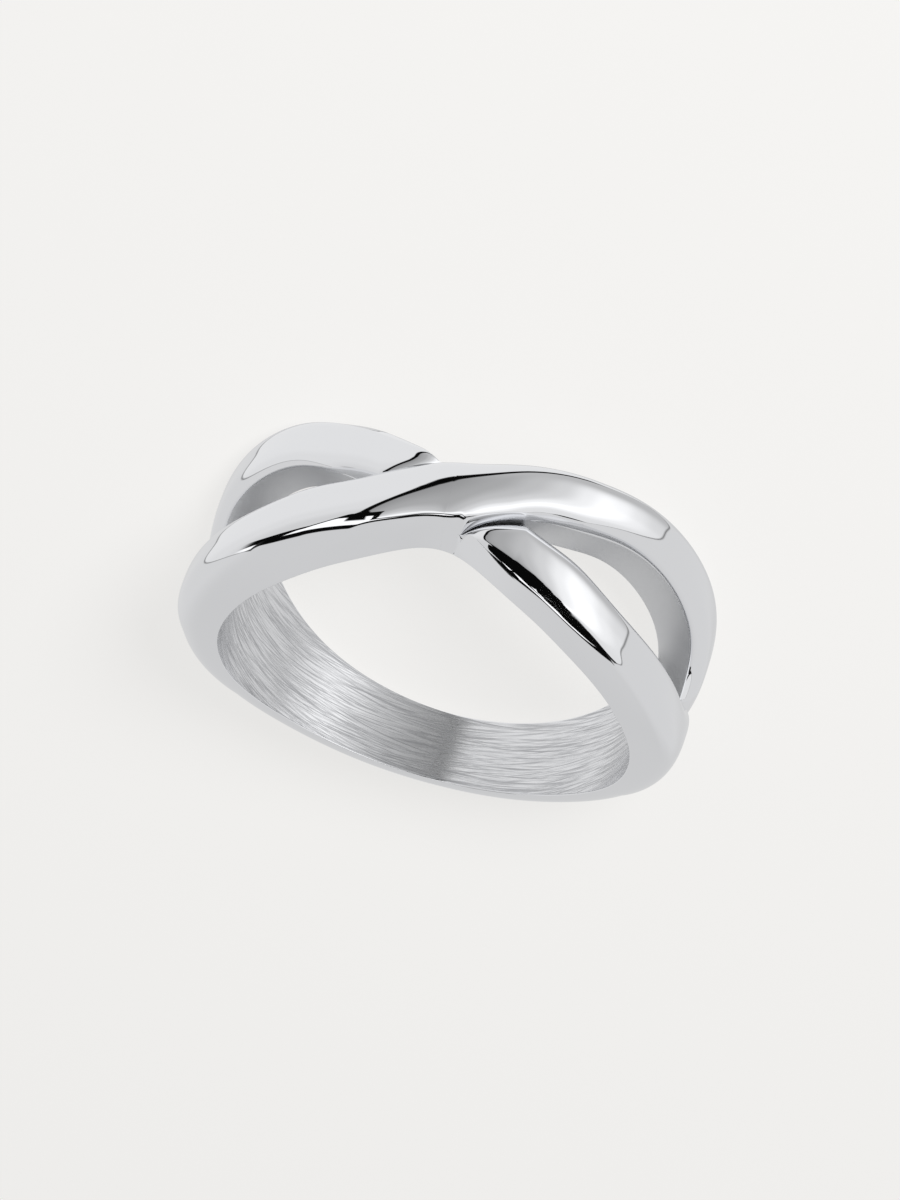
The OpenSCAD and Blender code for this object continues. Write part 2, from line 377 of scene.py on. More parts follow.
@dataclass
class BandForm:
    """The ring's sizes in millimetres and degrees.

    The over strand runs from the front rim on one side, over the crossing, to the back rim on the other side.
    The under strand comes out from beneath it at notch_at. The two part at gap_start and join again at
    gap_end, and the groove between them runs out at groove_end. A curve gives a length, a power or a face's
    slope by the angle from the crossing, and an ease is a share of the section's polar radius.
    """

    hole_radius: float
    # Angles at which the strands change, and the width of a rounded edge
    notch_at: float = 4.0
    gap_start: float = 17.5
    gap_end: float = 92.0
    groove_end: float = 120.0
    edge: float = 0.07
    # Half the band's width, and where the over strand's inner side ends across it
    rim: Curve = Curve(
        (0, 6, 12, 20, 30, 40, 50, 62, 75, 90, 105, 120, 140, 160, 180),
        (1.69, 1.83, 2.17, 2.65, 3.09, 3.44, 3.63, 3.708, 3.66, 3.38, 3.03, 2.58, 2.04, 1.76, 1.66),
    )
    inner_edge: Curve = Curve(
        (4, 5.8, 7.6, 11.5, 15.6, 17.5, 20, 25, 30, 40, 50, 57, 62, 75, 86, 92),
        (1.42, 1.18, 0.94, 0.5, 0.13, 0.0, -0.15, -0.4, -0.62, -1.12, -1.37, -1.4, -1.38, -1.23, -0.72, 0.0),
        False,
    )
    # Over strand: its crown's place and height, its inner lip's height and how square its flanks are
    over_place: Curve = Curve((0, 6, 12, 17.5, 23, 30), (0.0, -0.38, -0.82, -1.20, -1.52, -1.80), False)
    over_crown: Curve = Curve((0, 30, 60, 90, 120, 150, 180), (2.45, 2.52, 2.27, 1.9, 1.52, 1.28, 1.22))
    over_lip: Curve = Curve(
        (4, 6, 9, 14, 20, 45, 70, 92), (1.04, 1.25, 1.46, 1.60, 1.66, 1.78, 1.58, 1.17), False
    )
    over_power: Curve = Curve((0, 10, 18, 30, 60, 90, 120, 180), (2.4, 2.8, 3.2, 3.5, 3.4, 3.1, 2.9, 2.6))
    inner_power: Curve = Curve((0, 8, 14, 24, 60, 90, 120, 180), (2.4, 2.45, 2.8, 3.4, 3.4, 3.1, 2.9, 2.6))
    # Its inner flank near the crossing: how far the arc reaches, and the side's slope and rounding
    inner_reach: Curve = Curve((0, 3, 6, 9, 12, 16, 24), (1.84, 1.92, 1.90, 1.79, 1.68, 1.56, 1.40), False)
    inner_slope: Curve = Curve(
        (0, 2, 4, 6, 8, 12, 16, 30), (0.18, 0.25, 0.33, 0.29, 0.25, 0.17, 0.13, 0.1), False
    )
    inner_ease: Curve = Curve((0, 4, 8, 16), (0.10, 0.05, 0.02, 0.012), False)
    # Its outer flank near the crossing: how far the arc reaches past the rim, the side's slope and rounding
    rim_extra: Curve = Curve((0, 3, 6, 9, 15, 22, 30), (0.15, 0.205, 0.215, 0.20, 0.13, 0.04, 0.0), False)
    rim_slope: Curve = Curve((0, 4, 9, 15, 25), (0.18, 0.10, 0.03, 0.02, 0.0), False)
    rim_ease: Curve = Curve((0, 4, 9, 16, 24), (0.10, 0.14, 0.16, 0.12, 0.001))
    # Under strand: its crown's height, how square it is, its inner lip's height and its side
    under_crown: Curve = Curve(
        (4, 6, 8, 12, 20, 45, 70, 92), (1.04, 1.39, 1.60, 1.75, 1.86, 1.88, 1.84, 1.88), False
    )
    under_power: Curve = Curve((4, 10, 20, 60, 92), (3.0, 3.2, 3.4, 3.4, 3.1))
    under_lip: Curve = Curve(
        (4, 8, 12.5, 17.5, 24, 45, 70, 92), (1.04, 0.90, 0.84, 0.72, 1.10, 1.40, 1.38, 1.17), False
    )
    under_slope: Curve = Curve((4, 7, 9, 12.5, 17, 27, 45), (0.33, 0.21, 0.15, 0.10, 0.07, 0.05, 0.0), False)
    under_ease: Curve = Curve((4, 6, 10, 24, 45), (0.001, 0.01, 0.02, 0.02, 0.001))
    # Bevel along the under strand's outer shoulder
    bevel_slope: Curve = Curve((4, 12, 20, 30, 44, 60), (1.02, 1.02, 1.0, 0.72, 0.64, 0.64))
    bevel_depth: Curve = Curve((6, 12, 18, 30, 40, 48), (0.0, 0.03, 0.06, 0.06, 0.035, 0.0), False)
    bevel_ease: float = 0.012
    # Angles at which the chosen reach and the chosen crown's place give way to solved ones
    chosen_until: tuple[float, float] = (12.0, 24.0)
    place_until: float = 30.0
    least_share: float = 1e-6
    # Side faces: the angle from which they sink with the crown, and how low and how soon they settle
    back_thins_from: float = 90.0
    side_share: float = 0.8
    side_settles: float = 3.0
    # Rounded edges: the angle over which they grow, and the most of a wall's height that they take
    edge_grows: float = 3.0
    edge_wall_share: float = 0.35
    edge_gap_room: float = 3.0


@dataclass(frozen=True)
class Mesh:
    """How finely the band is drawn: faces across each part of its section, then along each stretch of it.

    The stretch at each end of the gap, which is drawn more closely, and the angle past which an edge stays
    sharp are in degrees.
    """

    dome: int = 30
    search: int = 400
    strip: int = 6
    corner: int = 4
    wall: int = 6
    bore: int = 9
    cross: int = 8
    tuck: int = 27
    gap_ends: int = 10
    gap: int = 87
    back: int = 104
    gap_end_length: float = 4.0
    sharp_over: float = 40.0


@dataclass
class CrossoverBand:
    """The whole ring, one closed surface: two strands that cross in front and part at the sides."""

    form: BandForm
    mesh: Mesh = Mesh()
    name: str = "crossover_band_polished"
    stands_for: str = "crossover_band"
    weld: float = 1e-5
    patches: list[Patch] = field(default_factory=list)

    def __post_init__(self) -> None:
        """Work out the stations and both strands' domes."""
        f, m = self.form, self.mesh
        opened, closing = f.gap_start + m.gap_end_length, f.gap_end - m.gap_end_length
        stretches = (
            np.linspace(0, f.notch_at, m.cross + 1),
            np.linspace(f.notch_at, f.gap_start, m.tuck + 1)[1:],
            np.linspace(f.gap_start, opened, m.gap_ends + 1)[1:],
            np.linspace(opened, closing, m.gap + 1)[1:],
            np.linspace(closing, f.gap_end, m.gap_ends + 1)[1:],
            np.linspace(f.gap_end, 180, m.back + 1)[1:],
        )
        self.at = np.concatenate(stretches)
        notch = m.cross
        start = notch + m.tuck
        end = start + m.gap + 2 * m.gap_ends
        self.whole = slice(0, len(self.at))
        self.top = slice(0, end + 1)
        self.strand = slice(notch, end + 1)
        self.gap = slice(start, end + 1)
        self.back = slice(end, len(self.at))
        self.notch_row = notch
        self.rim = f.rim(self.at)
        self._shape_over_strand()
        self._shape_under_strand()
        self._shape_edges()

    def _shape_over_strand(self) -> None:
        """Work out the over strand's dome.

        Its inner edge rides on the under strand, then follows the gap, and past its end it meets the other
        strand. Near the crossing the inner flank's reach is chosen. Further on it is solved so that the flank
        passes through the lip, as (edge - place) / cut_share.
        """
        f, a, rim = self.form, self.at, self.rim
        crown, power = f.over_crown(a), f.over_power(a)
        groove = smooth((a - f.gap_end) / (f.groove_end - f.gap_end))
        lip = np.where(a <= f.gap_end, f.over_lip(a), f.over_lip.value[-1] * (1 - groove) + crown * groove)
        edge = np.where(a < f.gap_end, f.inner_edge(a), 0.0)
        share = cut_share(lip, crown, power)
        place = np.where(a < f.place_until, f.over_place(a), (edge - share * rim) / (1 + share))
        slope = f.inner_slope(a)
        start, end = f.chosen_until
        chosen = 1 - smooth((a - start) / (end - start))
        inner_power = f.inner_power(a)
        solved = (edge - place) / np.maximum(cut_share(lip, crown, inner_power), f.least_share)
        reach = np.where(chosen > 0, chosen * f.inner_reach(a) + (1 - chosen) * solved, solved)
        at = np.where(a < f.notch_at, rim, edge + slope * lip) - place
        inner = Flank(reach, inner_power, (Face(at, slope, f.inner_ease(a)),))
        width = rim + place
        outer = Flank(width + f.rim_extra(a), power, (Face(width, f.rim_slope(a), f.rim_ease(a)),), width)
        self.over = Dome(crown, place, lip, edge, inner, outer, 1.0)
        self.edge = np.where(a < f.notch_at, self.over.across(lip[:, None], False)[:, 0], edge)
        self.over.lip_place = self.edge

    def _shape_under_strand(self) -> None:
        """Work out the under strand's dome, from the rim to the over strand's foot or to the gap.

        A narrow bevel cuts the shoulder of its side, to a chosen depth below where a line of its slope would
        only touch: the greatest across + slope * height.
        """
        f, a, rim, over = self.form, self.at, self.rim, self.over
        apart = a < f.gap_end
        crown = np.where(apart, f.under_crown(a), over.crown)
        lip = np.where(apart, f.under_lip(a), over.lip)
        power = np.where(apart, f.under_power(a), over.outer.power)
        edge = np.where(a < f.gap_start, self.edge, -self.edge)
        share = cut_share(lip, crown, power)
        place = (edge + share * rim) / (1 + share)
        width = rim - place
        side = Face(width, f.under_slope(a), f.under_ease(a))
        outer = Flank(width, power, (side,), width)
        turn = np.linspace(0, math.pi / 2, self.mesh.search)[None, :] + 0 * a[:, None]
        across, height = outer.draw(turn, crown)
        slope = f.bevel_slope(a)
        touch = (across + slope[:, None] * height).max(1)
        outer.faces = (Face(touch - f.bevel_depth(a), slope, 0 * a + f.bevel_ease), side)
        self.under = Dome(crown, place, lip, edge, Flank(width, power), outer, -1.0)

    def _shape_edges(self) -> None:
        """Work out the side faces' heights, the rounded edges' widths and half the gap's width."""
        f, a, over, under = self.form, self.at, self.over, self.under
        notch_height = f.over_lip.value[0]
        fall = 1 - f.side_share
        back_share = np.minimum(1, over.crown / f.over_crown(np.array([f.back_thins_from]))[0])
        self.back_side = notch_height * (1 - fall * smooth(a / f.notch_at)) * back_share
        front = notch_height * (1 - fall * smooth((a - f.notch_at) / f.side_settles))
        front[self.notch_row] = under.crown[self.notch_row]
        front = np.minimum(front, under.crown)
        self.front_side = np.where(a > f.gap_end, self.back_side, front)
        opening = smooth((a - f.gap_start) / f.edge_grows) * smooth((f.gap_end - a) / f.edge_grows)
        in_gap = (a > f.gap_start) & (a < f.gap_end)
        self.under_edge = np.where(in_gap, f.edge * opening, 0.0)
        wall = np.maximum(over.lip - under.lip, 0) + np.where(in_gap, f.edge_gap_room * self.under_edge, 0.0)
        lipped = (a >= f.notch_at) & (a < f.gap_end)
        self.over_edge = np.where(lipped, np.minimum(f.edge, f.edge_wall_share * wall), 0.0)
        self.half_gap = np.where(in_gap, -self.edge, 0.0)

    def _add(self, section: Section, rows: slice, surface: Surface = Surface.POLISHED) -> None:
        """Wrap a section's places across and heights round the hole and keep the patch.

        A point at angle a, place z and height t is ((r + t) * -sin a, (r + t) * -cos a, z).

        Args:
            section: Places across and heights, one row for each station.
            rows: The stations that the section covers.
            surface: The finish that it takes.
        """
        across, height = np.broadcast_arrays(*section)
        radius = self.form.hole_radius + height
        turn = np.radians(self.at[rows])[:, None]
        points = np.stack([-radius * np.sin(turn), -radius * np.cos(turn), across], -1)
        self.patches.append(Patch(surface, points))

    def _corner(self, first: Section, corner: Section, last: Section) -> Section:
        """Round a corner: (1 - u)^2 * first + 2u(1 - u) * corner + u^2 * last.

        Args:
            first: Place across and height at each station where the rounding starts.
            corner: The sharp corner, which the curve is drawn towards.
            last: Where the rounding ends.

        Returns:
            Places across and heights, one row for each station.
        """
        u = np.linspace(0, 1, self.mesh.corner + 1)[None, :]
        weights = ((1 - u) ** 2, 2 * u * (1 - u), u**2)
        corners = (first, corner, last)
        across, height = (sum(w * c[k][:, None] for w, c in zip(weights, corners)) for k in (0, 1))
        return across, height

    def _dome(self, dome: Dome, rows: slice, trim: Array, foot: Array) -> Section:
        """Section of a dome from its inner lip, over its crown, down to its side face.

        Args:
            dome: The strand's dome.
            rows: The stations wanted.
            trim: Length along the arc that is left at the lip for the rounded edge.
            foot: Height at which the rim's side ends.

        Returns:
            Places across and heights, from the inner edge to the rim.
        """
        d = pick(dome, rows)
        share = np.linspace(0, 1, self.mesh.dome + 1)[None, :]
        inner = d.down_to(share, d.lip, False)
        kept = d.trimmed(inner[:, -1:], trim[rows][:, None])
        za, ta = d.draw((inner * kept)[:, ::-1], False)
        zb, tb = d.draw(d.down_to(share, foot[rows], True), True)
        tb[:, -1] = foot[rows]
        untrimmed = trim[rows] <= 0
        ta[untrimmed, 0] = d.lip[untrimmed]
        za[untrimmed, 0] = d.lip_place[untrimmed]
        return np.concatenate([za, zb[:, 1:]], 1), np.concatenate([ta, tb[:, 1:]], 1)

    def build_domes(self) -> None:
        """Add both strands' rounded tops, and the plain band that they become at the back."""
        none = 0 * self.at
        over = self._dome(self.over, self.top, self.over_edge, self.back_side)
        under = self._dome(self.under, self.strand, self.under_edge, self.front_side)
        back_over = self._dome(self.over, self.back, none, self.back_side)
        back_under = self._dome(self.under, self.back, none, self.front_side)
        self._add(over, self.top)
        self._add((under[0][:, ::-1], under[1][:, ::-1]), self.strand)
        self._add((back_under[0][:, ::-1], back_under[1][:, ::-1]), self.back)
        self._add(back_over, self.back)

    def build_sides(self) -> None:
        """Add the rims' side faces and the rounded edges where they meet the hole's wall.

        Up to the notch the front face is the over strand's own flank. From there it is the under strand's.
        """
        f, rim, none = self.form, self.rim, 0 * self.at
        foot = none + f.edge
        high = spread(self.front_side, foot, self.mesh.strip)
        first = (self.at < f.notch_at)[:, None]
        z = np.where(first, self.over.across(high, False), self.under.across(high, True))
        self._add((z[:, ::-1], high[:, ::-1]), self.whole)
        self._add(self._corner((rim - f.edge, none), (rim, none), (z[:, -1], foot)), self.whole)
        high = spread(self.back_side, foot, self.mesh.strip)
        z = self.over.across(high, True)
        self._add((z, high), self.whole)
        self._add(self._corner((z[:, -1], foot), (-rim, none), (-rim + f.edge, none)), self.whole)

    def build_walls(self) -> None:
        """Add the upright walls of the over strand along the tuck and of both strands along the gap."""
        rows = self.strand
        place, lip = self.edge[rows], self.over.lip[rows]
        edge, foot = self.over_edge[rows], self.under.lip[rows]
        z, t = self._dome(self.over, rows, self.over_edge, self.back_side)
        self._add(self._corner((place, lip - edge), (place, lip), (z[:, 0], t[:, 0])), rows)
        # The gaps' walls take the satin steel, whose darker colour is painted shade.
        self._add((place[:, None], spread(foot, lip - edge, self.mesh.wall)), rows, Surface.SATIN)
        rows = self.gap
        place, edge = self.edge[rows], self.under_edge[rows]
        lip, none = self.under.lip[rows], 0 * self.at[rows]
        self._add((place[:, None], spread(edge, lip, self.mesh.wall)), rows, Surface.SATIN)
        self._add(self._corner((place - edge, none), (place, none), (place, edge)), rows, Surface.SATIN)
        z, t = self._dome(self.under, rows, self.under_edge, self.front_side)
        self._add(self._corner((z[:, 0], t[:, 0]), (-place, lip), (-place, lip - edge)), rows)
        self._add((-place[:, None], spread(lip - edge, edge, self.mesh.wall)), rows, Surface.SATIN)
        self._add(self._corner((-place, edge), (-place, none), (edge - place, none)), rows, Surface.SATIN)

    def build_bore(self) -> None:
        """Add the finger hole's wall, on both sides of the gap."""
        near = self.half_gap + self.under_edge
        far = self.rim - self.form.edge
        none = np.zeros((1, 1))
        self._add((spread(near, far, self.mesh.bore), none), self.whole, Surface.BRUSHED)
        self._add((spread(-far, -near, self.mesh.bore), none), self.whole, Surface.BRUSHED)

    def triangles(self) -> tuple[Array, Array, Array]:
        """Join the patches and their half-turned copies into one closed surface.

        Returns:
            Points in millimetres, triangles that face outwards, and each triangle's finish.
        """
        points, faces, finishes = [], [], []
        count = 0
        for patch in self.patches:
            for grid in (patch.points, patch.points * HALF_TURN):
                rows, columns = grid.shape[:2]
                i = count + np.arange(rows * columns).reshape(rows, columns)
                a, b, c, d = i[:-1, :-1], i[:-1, 1:], i[1:, 1:], i[1:, :-1]
                split = (np.stack([a, c, b], -1), np.stack([a, d, c], -1))
                faces.append(np.concatenate([s.reshape(-1, 3) for s in split]))
                finishes.append(np.full(len(faces[-1]), patch.surface.value))
                points.append(grid.reshape(-1, 3))
                count += rows * columns
        points = np.concatenate(points)
        keys = np.round(points / self.weld).astype(np.int64)
        _, first, place = np.unique(keys, axis=0, return_index=True, return_inverse=True)
        faces = place.reshape(-1)[np.concatenate(faces)]
        real = (faces[:, 0] != faces[:, 1]) & (faces[:, 1] != faces[:, 2]) & (faces[:, 0] != faces[:, 2])
        return points[first], faces[real], np.concatenate(finishes)[real]

    def build(self, rest: "Rest", finishes: dict[Surface, bpy.types.Material]) -> bpy.types.Object:
        """Make the ring's object, in its place and dressed.

        Args:
            rest: How the ring lies.
            finishes: The material of each surface.

        Returns:
            The ring, which rides on the root body in place of its plain solid.
        """
        self.build_domes()
        self.build_sides()
        self.build_walls()
        self.build_bore()
        points, faces, finish = self.triangles()
        mesh = bpy.data.meshes.new(self.name)
        mesh.from_pydata(rest.place(points), [], faces.tolist())
        for surface in Surface:
            mesh.materials.append(finishes[surface])
        mesh.polygons.foreach_set("material_index", finish)
        mesh.polygons.foreach_set("use_smooth", np.ones(len(faces), bool))
        mesh.validate()
        mesh.update()
        ring = bpy.data.objects.new(self.name, mesh)
        bpy.context.scene.collection.objects.link(ring)
        mesh.set_sharp_from_angle(angle=math.radians(self.mesh.sharp_over))
        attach(ring, "root")
        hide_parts(self.stands_for)
        LOG.info("%s: %d triangles", self.name, len(faces))
        return ring


@dataclass(frozen=True)
class Rest:
    """How the ring lies.

    It has its centre in metres, the lean of its hole from upright in radians and the hole's radius in
    millimetres.
    """

    centre: tuple[float, float, float]
    lean: float
    hole_radius: float

    @classmethod
    def from_record(cls, record: dict, hole_name: str = "finger_hole") -> "Rest":
        """Read how the ring lies from its finger hole.

        Args:
            record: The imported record.
            hole_name: The name of the finger hole's mount.

        Returns:
            The hole's centre, the lean of its axis and its radius.
        """
        hole = next(mount for mount in record["mounts"] if mount["name"] == hole_name)
        _, y, z = hole["axis"]
        return cls(tuple(hole["pos_m"]), math.atan2(y, z), hole["dims"]["r_mm"])

    def turn(self) -> Matrix:
        """Rotation from the ring's own axes to those of the floor."""
        return Matrix.Rotation(-self.lean, 3, "X")

    def place(self, points: Array) -> Array:
        """Turn points of the ring's own form and bring them to metres.

        Args:
            points: Points in millimetres, one in each row.

        Returns:
            The points where the ring rests.
        """
        return points @ np.array(self.turn()).T * METRES + np.array(self.centre)


@dataclass
class PhotoCamera:
    """The camera at the photograph's angle: its own axes seen from the ring, its distance and its framing."""

    right: tuple[float, float, float] = (-0.958, -0.029, -0.285)
    back: tuple[float, float, float] = (-0.1296, -0.8434, 0.5214)
    distance: float = 226.3
    focal_px: float = 5608.3
    frame_px: tuple[int, int] = (900, 1200)
    centre_px: tuple[float, float] = (446.236, 634.559)
    nearest: float = 0.01

    def build(self, rest: Rest) -> bpy.types.Object:
        """Place the camera.

        Args:
            rest: How the ring lies.

        Returns:
            The scene's camera.
        """
        data = bpy.data.cameras.new("photo_camera")
        wide, high = self.frame_px
        data.lens = self.focal_px / high * data.sensor_width
        data.shift_x = (wide / 2 - self.centre_px[0]) / high
        data.shift_y = (self.centre_px[1] - high / 2) / high
        data.clip_start = self.nearest
        camera = bpy.data.objects.new("photo_camera", data)
        back = Vector(self.back).normalized()
        right = Vector(self.right)
        right = (right - back * right.dot(back)).normalized()
        axes = Matrix((right, back.cross(right), back)).transposed()
        turned = (rest.turn() @ axes).to_4x4()
        turned.translation = Vector(rest.centre) + rest.turn() @ back * self.distance * METRES
        camera.matrix_world = turned
        bpy.context.scene.collection.objects.link(camera)
        bpy.context.scene.camera = camera
        LOG.info("camera: lens %.1f mm, shift %.4f %.4f", data.lens, data.shift_x, data.shift_y)
        return camera


@dataclass
class Graph:
    """Adds shader nodes to a tree, one method for each step of a sum."""

    tree: bpy.types.NodeTree

    def node(self, kind: str, **settings: object) -> bpy.types.Node:
        """Add a node.

        Args:
            kind: The node's type.
            **settings: Its properties by name.

        Returns:
            The node.
        """
        node = self.tree.nodes.new(kind)
        for name, value in settings.items():
            setattr(node, name, value)
        return node

    def feed(self, socket: bpy.types.NodeSocket, value: Value) -> None:
        """Link a socket to a value, or set the number on it.

        Args:
            socket: The input to fill.
            value: An output to link, or a number.
        """
        if isinstance(value, bpy.types.NodeSocket):
            self.tree.links.new(value, socket)
        else:
            socket.default_value = value

    def split(self, vector: bpy.types.NodeSocket) -> Way:
        """Part a vector.

        Args:
            vector: The vector.

        Returns:
            Its x, y and z.
        """
        node = self.node("ShaderNodeSeparateXYZ")
        self.feed(node.inputs[0], vector)
        return tuple(node.outputs)

    def math(self, operation: str, *values: Value) -> bpy.types.NodeSocket:
        """Take one step of arithmetic.

        Args:
            operation: The name of the step.
            *values: What it works on, in order.

        Returns:
            The result.
        """
        node = self.node("ShaderNodeMath", operation=operation)
        for socket, value in zip(node.inputs, values):
            self.feed(socket, value)
        return node.outputs[0]

    def total(self, *terms: tuple[float, Value]) -> bpy.types.NodeSocket:
        """Add up each value times its weight.

        Args:
            *terms: Weights and values, in pairs.

        Returns:
            The sum.
        """
        result: Value = 0.0
        for weight, value in terms:
            result = self.math("MULTIPLY_ADD", value, weight, result)
        return result

    def ease(self, value: Value, between: tuple[float, float], low: float = 0.0, high: float = 1.0) -> Value:
        """Go from low to high, eased at both ends, while a value goes between two places.

        Args:
            value: The value that is followed.
            between: The places at which the change starts and ends.
            low: The result up to the start.
            high: The result from the end.

        Returns:
            The eased result.
        """
        node = self.node("ShaderNodeMapRange", interpolation_type="SMOOTHSTEP")
        for socket, number in zip(node.inputs[:5], (value, *between, low, high)):
            self.feed(socket, number)
        return node.outputs[0]

    def blend(self, share: Value, first: Value, second: Value) -> bpy.types.NodeSocket:
        """Go from one value to another by a share.

        Args:
            share: How far to go, from 0 to 1.
            first: The value at 0.
            second: The value at 1.

        Returns:
            The blend of both.
        """
        node = self.node("ShaderNodeMix", data_type="FLOAT")
        self.feed(node.inputs[0], share)
        self.feed(node.inputs[2], first)
        self.feed(node.inputs[3], second)
        return node.outputs[0]

    def stroke(self, distance: Value, half: Value, soft: float) -> bpy.types.NodeSocket:
        """Draw a line: 1 where the distance is within its half width, and 0 past a soft edge."""
        past = self.math("SUBTRACT", self.math("ABSOLUTE", distance), half)
        return self.ease(past, (-soft, soft), 1.0, 0.0)

    def scale(self, value: Value, stops: tuple[tuple[float, float], ...]) -> bpy.types.NodeSocket:
        """Read a value on a smooth scale of greys.

        Args:
            value: A place from 0 to 1.
            stops: Places and their levels, in order.

        Returns:
            The level, which eases from each stop to the next.
        """
        node = self.node("ShaderNodeValToRGB")
        ramp = node.color_ramp
        ramp.interpolation = "EASE"
        while len(ramp.elements) < len(stops):
            ramp.elements.new(0.5)
        for element, (place, level) in zip(ramp.elements, stops):
            element.position = place
            element.color = (level, level, level, 1.0)
        self.feed(node.inputs[0], value)
        return node.outputs[0]


def linear(grey: float) -> float:
    """Turn a screen grey from 0 to 255 into a light level, by the standard screen curve."""
    share = grey / 255
    return share / 12.92 if share <= 0.04045 else ((share + 0.055) / 1.055) ** 2.4


@dataclass(frozen=True)
class PolishedSteel:
    """Mirror polish: a clean steel reflection, barely scattered."""

    name: str = "steel_mirror_polish"
    colour: Colour = (0.822, 0.828, 0.845, 1.0)
    roughness: float = 0.03

    def build(self) -> bpy.types.Material:
        """Make the material.

        Returns:
            The material, the same all over.
        """
        material = bpy.data.materials.new(self.name)
        material.use_nodes = True
        shader = material.node_tree.nodes["Principled BSDF"]
        shader.inputs["Base Color"].default_value = self.colour
        shader.inputs["Metallic"].default_value = 1.0
        shader.inputs["Roughness"].default_value = self.roughness
        return material


@dataclass(frozen=True)
class SatinSteelWithPaintedShade(PolishedSteel):
    """Rougher steel for the gaps' inner walls, which no polishing wheel reaches, darkened with painted shade.
    """

    name: str = "steel_satin_wall_painted_shade"
    # The darker colour is painted shade between the strands, not the steel's own tone.
    colour: Colour = (0.72, 0.725, 0.735, 1.0)
    roughness: float = 0.38


@dataclass(frozen=True)
class BrushedSteel:
    """Fine lines round the hole's wall, in two layers that cross at a small slant.

    The lines' length and width are in millimetres and the depth of the strokes is in metres.
    """

    name: str = "steel_brushed_bore"
    dark: Colour = (0.46, 0.465, 0.48, 1.0)
    light: Colour = (0.80, 0.805, 0.82, 1.0)
    dark_between: tuple[float, float] = (0.42, 0.72)
    roughness: tuple[float, float] = (0.20, 0.38)
    rough_between: tuple[float, float] = (0.4, 0.75)
    line_length: float = 2.6
    line_width: float = 0.055
    line_detail: float = 2.0
    slants: tuple[float, float] = (0.035, -0.10)
    layers_apart: float = 40.0
    depth: float = 0.000012
    strength: float = 0.5

    def build(self, rest: Rest) -> bpy.types.Material:
        """Make the material.

        A point's place round the hole and its place along the hole are stretched into a noise, so that its
        grains become lines.

        Args:
            rest: How the ring lies, which turns the lines with it.

        Returns:
            The material.
        """
        material = bpy.data.materials.new(self.name)
        material.use_nodes = True
        g = Graph(material.node_tree)
        shader = material.node_tree.nodes["Principled BSDF"]
        shader.inputs["Metallic"].default_value = 1.0
        centred = g.node("ShaderNodeMapping", vector_type="TEXTURE")
        centred.inputs["Location"].default_value = rest.centre
        centred.inputs["Rotation"].default_value = rest.turn().to_euler()
        centred.inputs["Scale"].default_value = (METRES, METRES, METRES)
        g.feed(centred.inputs[0], g.node("ShaderNodeTexCoord").outputs["Object"])
        x, y, z = g.split(centred.outputs[0])
        round_hole = g.math("MULTIPLY", g.math("ARCTAN2", x, y), rest.hole_radius)
        lines = g.math("MAXIMUM", *(self.layer(g, round_hole, z, slant) for slant in self.slants))
        tint = g.node("ShaderNodeMix", data_type="RGBA")
        g.feed(tint.inputs["Factor"], g.ease(lines, self.dark_between))
        tint.inputs[6].default_value = self.light
        tint.inputs[7].default_value = self.dark
        g.feed(shader.inputs["Base Color"], tint.outputs[2])
        g.feed(shader.inputs["Roughness"], g.ease(lines, self.rough_between, *self.roughness))
        bump = g.node("ShaderNodeBump")
        bump.inputs["Strength"].default_value = self.strength
        bump.inputs["Distance"].default_value = self.depth
        g.feed(bump.inputs["Height"], lines)
        g.feed(shader.inputs["Normal"], bump.outputs[0])
        return material

    def layer(self, g: Graph, round_hole: Value, along: Value, slant: float) -> bpy.types.NodeSocket:
        """Draw one layer of lines: noise at (round / length, (along + slant * round) / width).

        Args:
            g: The material's nodes.
            round_hole: Place round the hole, in millimetres.
            along: Place along the hole, in millimetres.
            slant: Rise of the lines along the hole for each millimetre round it.

        Returns:
            The noise, high on a line.
        """
        spot = g.node("ShaderNodeCombineXYZ")
        g.feed(spot.inputs[0], g.math("DIVIDE", round_hole, self.line_length))
        g.feed(spot.inputs[1], g.math("DIVIDE", g.total((1.0, along), (slant, round_hole)), self.line_width))
        g.feed(spot.inputs[2], self.layers_apart * slant)
        noise = g.node("ShaderNodeTexNoise")
        noise.inputs["Scale"].default_value = 1.0
        noise.inputs["Detail"].default_value = self.line_detail
        g.feed(noise.inputs["Vector"], spot.outputs[0])
        return noise.outputs[0]


